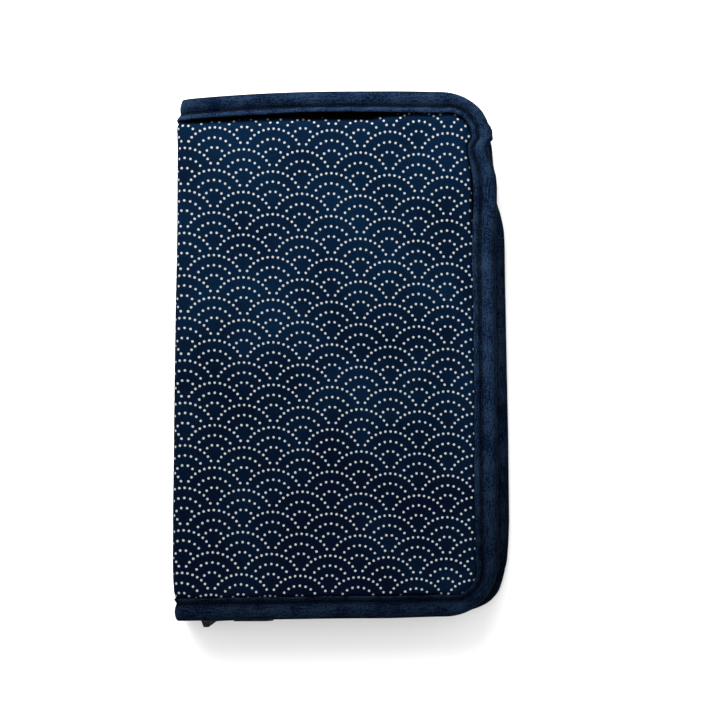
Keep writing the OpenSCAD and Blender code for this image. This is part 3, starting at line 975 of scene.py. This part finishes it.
class Pocket:
    """A pocket of thin cloth that stands a little proud at its mouth, from its CAD node."""

    def __init__(self, node):
        self.node = node
        self.side, self.puff, self.seed = POCKETS[node]
        self.low, self.high = box_mm(node)
        flip = SIDES[self.side]["flip"]
        self.near = CASE_T - self.high[2] if flip else self.low[2]
        self.far = CASE_T - self.low[2] if flip else self.high[2]

    def bulge(self, x, y):
        """How far the cloth stands off what it lies on: most in the middle of the mouth."""
        across = np.clip((x - self.low[0]) / (self.high[0] - self.low[0]), 0, 1)
        up = (y - self.low[1]) / (self.high[1] - self.low[1])
        loose = np.sin(math.pi * across) ** 0.7 * smoothstep(0.0, 0.9, up)
        return (self.puff + 0.06 * soft_noise(x, y, 9, self.seed)) * loose

    def panel(self):
        """The cloth, with its outer bottom corner rounded."""
        low, high, radius = self.low, self.high, POCKET_CORNER_R
        x, y = np.meshgrid(np.linspace(low[0], high[0], 56), np.linspace(low[1], high[1], 64), indexing="ij")
        in_x, in_y = corner_pull(x - high[0] + radius, low[1] + radius - y, radius)
        x, y = x - in_x, y + in_y
        bulge = self.bulge(x, y)
        panel = slab(f"{self.node}_cloth", self.side, x, y, self.near + 0.03 + bulge * 0.8,
                     self.far - 0.03 + bulge, POCKET)
        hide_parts(self.node)
        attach(panel, SIDES[self.side]["body"])
        return panel

    def mouth(self, name, width, rise, material, *nodes):
        """A strip folded over the mouth."""
        xs = np.linspace(self.low[0], self.high[0], 60)
        points = np.stack([xs, np.full_like(xs, self.high[1])], 1)
        normals = np.tile([0.0, -1.0], (len(xs), 1))
        path = (points, normals, xs - xs[0])
        top, near, far = self.far - 0.03 + rise, self.near, self.far
        section = np.array([
            (-0.45, near + 0.3), (-0.3, near + 0.02), (0.4, near - 0.02), (width - 0.3, near),
            (width - 0.3, near + 0.04), (width - 0.3, far - 0.1), (width, far + 0.02),
            (width - 0.08, top - 0.08), (width - 0.5, top), (0.4, top + 0.03), (-0.2, top - 0.03),
            (-0.42, top - 0.2),
        ])
        bulge = self.bulge(xs, points[:, 1])[:, None]
        lift = 0.8 + 0.2 * (section[:, 1] > near + 0.1)
        inset = np.repeat(section[None, :, 0], len(xs), 0)
        depth = section[None, :, 1] + bulge * lift[None, :]
        strip = sweep(name, self.side, path, inset, depth, material)
        if nodes:
            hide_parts(*nodes)
        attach(strip, SIDES[self.side]["body"])
        return strip

    def stitch_row(self, x0, y0, x1, y1, lift):
        """Short threads in a straight row, each with its ends sunk into the cloth."""
        count = max(int(math.hypot(x1 - x0, y1 - y0) / POCKET_STITCH_PITCH), 1)
        lines = []
        for k in range(count):
            t = (k + np.linspace(0.1, 0.9, 6)) / count
            x, y = x0 + (x1 - x0) * t, y0 + (y1 - y0) * t
            sink = 0.25 * np.linspace(-1, 1, 6) ** 6
            lines.append(np.stack([x, y, self.far - 0.03 + self.bulge(x, y) + lift + 0.05 - sink], 1))
        return lines

    def stitches(self, mouth_width, rise):
        """One row along the mouth and one along each sewn edge."""
        low, high = self.low, self.high
        mouth_y = high[1] - mouth_width + 0.8
        lines = self.stitch_row(low[0] + 1, mouth_y, high[0] - 1, mouth_y, rise)
        lines += self.stitch_row(low[0] + 1.5, mouth_y - 1.5, low[0] + 1.5, low[1] + 2, 0)
        lines += self.stitch_row(high[0] - 1.5, mouth_y - 1.5, high[0] - 1.5, low[1] + 9, 0)
        lines += self.stitch_row(low[0] + 2, low[1] + 1.5, high[0] - 9, low[1] + 1.5, 0)
        sewn = tubes(f"{self.node}_stitches", self.side, lines, 0.13, 5, THREAD)
        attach(sewn, SIDES[self.side]["body"])
        return sewn


for node in POCKETS:
    pocket = Pocket(node)
    panel = pocket.panel()
    if node.startswith("card"):
        wide, rise = 4.0, 0.12
        strip = pocket.mouth(f"{node}_hem", wide, rise, POCKET)
    else:
        wide, rise = 6.0, 0.25
        strip = pocket.mouth(f"{node}_mouth_tape", wide, rise, BINDING, f"{node}_edge")
    sewn = pocket.stitches(wide, rise)


def make_spine_board():
    """The stiffener in the spine, a thin board with eased edges."""
    low, high = box_mm("spine_stiffener")
    thick, ease = 0.4, 0.25
    centre_x = (low[0] + high[0]) / 2
    half_z, half_y = (high[2] - low[2]) / 2 - 0.6, high[1] - 9
    ring = [(-thick, half_z - ease), (-thick + ease, half_z), (thick - ease, half_z), (thick, half_z - ease)]
    ring += [(a, -b) for a, b in ring[::-1]]
    rows = [(-half_y, ease), (ease - half_y, 0)] + [(y, 0) for y in np.linspace(4 - half_y, half_y - 4, 24)]
    rows += [(half_y - ease, 0), (half_y, ease)]
    points = [(centre_x + a * (1 - cut), y, CASE_T / 2 + b - math.copysign(cut, b)) for y, cut in rows
              for a, b in ring]
    points = np.array(points) * MM
    board = make_object("spine_board", points, ring_faces(len(rows), len(ring)), points[:, 1:], BOARD)
    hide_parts("spine_stiffener")
    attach(board, "spine")


make_spine_board()


# ---- CAD pieces that stay, with finer edges

def soften(node, material, width):
    """Gives a CAD node its material and small rounded edges."""
    obj = frame["nodes"][node]
    obj.data.materials.clear()
    obj.data.materials.append(material)
    bevel = obj.modifiers.new("edges", "BEVEL")
    bevel.width = width * MM
    bevel.segments = 3
    bevel.limit_method = "ANGLE"
    bevel.angle_limit = math.radians(35)


for node in ("slider_body", "slider_pull", "rear_zip_stops", "front_zip_stops"):
    soften(node, METAL, 0.15)


# ---- camera, floor and light

CAMERA_DISTANCE = 0.50
CAMERA_TILT = math.radians(4.3)
CAMERA_ROLL = math.radians(-0.2)
CAMERA_AIM = (0.0059, -0.0026, CASE_T * MM)
CAMERA_LENS = 69.5
SKY_STRENGTH = 1.08
SUN_STRENGTH = 2.6
SUN_ANGLE = math.radians(40)
SUN_TURN = (math.radians(-54), 0, math.radians(16))
LAMP_AT = (-0.10, 0.36, 0.22)
LAMP_SIZE = 0.24
LAMP_POWER = 3.0


def make_camera():
    data = bpy.data.cameras.new("camera")
    data.lens = CAMERA_LENS
    data.sensor_width = 36.0
    cam = add_object("camera", data)
    back = (0, -math.sin(CAMERA_TILT), math.cos(CAMERA_TILT))
    cam.location = [a + CAMERA_DISTANCE * b for a, b in zip(CAMERA_AIM, back)]
    cam.rotation_euler = (CAMERA_TILT, 0, CAMERA_ROLL)
    bpy.context.scene.camera = cam


def make_floor():
    """A round floor that curves up into a low wall a long way off."""
    rings = [(0.4, 0), (0.9, 0), (1.4, 0), (1.8, 0), (2.1, 0.03), (2.4, 0.14), (2.6, 0.36), (2.7, 0.8)]
    turns = 64
    points = [(r * math.cos(2 * math.pi * k / turns), r * math.sin(2 * math.pi * k / turns), h)
              for r, h in rings for k in range(turns)]
    points.append((0, 0, 0))
    faces = [(a + k, a + k + turns, a + (k + 1) % turns + turns, a + (k + 1) % turns)
             for a in range(0, (len(rings) - 1) * turns, turns) for k in range(turns)]
    faces += [(len(points) - 1, k, (k + 1) % turns) for k in range(turns)]
    mesh = bpy.data.meshes.new("floor")
    mesh.from_pydata(points, [], faces)
    mesh.polygons.foreach_set("use_smooth", [True] * len(mesh.polygons))
    mesh.materials.append(pale_floor())
    add_object("floor", mesh)


def make_lights():
    """A white sky, a broad soft sun, and a lamp near the top edge that looks at the origin."""
    world = bpy.data.worlds.new("studio")
    world.use_nodes = True
    sky = world.node_tree.nodes["Background"].inputs
    sky["Color"].default_value = (1.0, 1.0, 1.0, 1.0)
    sky["Strength"].default_value = SKY_STRENGTH
    bpy.context.scene.world = world
    sun = bpy.data.lights.new("window", "SUN")
    sun.energy = SUN_STRENGTH
    sun.angle = SUN_ANGLE
    add_object("window", sun).rotation_euler = SUN_TURN
    disk = bpy.data.lights.new("near_top", "AREA")
    disk.shape = "DISK"
    disk.size = LAMP_SIZE
    disk.energy = LAMP_POWER
    lamp = add_object("near_top", disk)
    lamp.location = LAMP_AT
    x, y, z = LAMP_AT
    lamp.rotation_euler = (math.atan2(math.hypot(x, y), z), 0, math.atan2(-x, y) + math.pi)
    bpy.context.scene.view_settings.view_transform = "Standard"


make_camera()
make_floor()
make_lights()
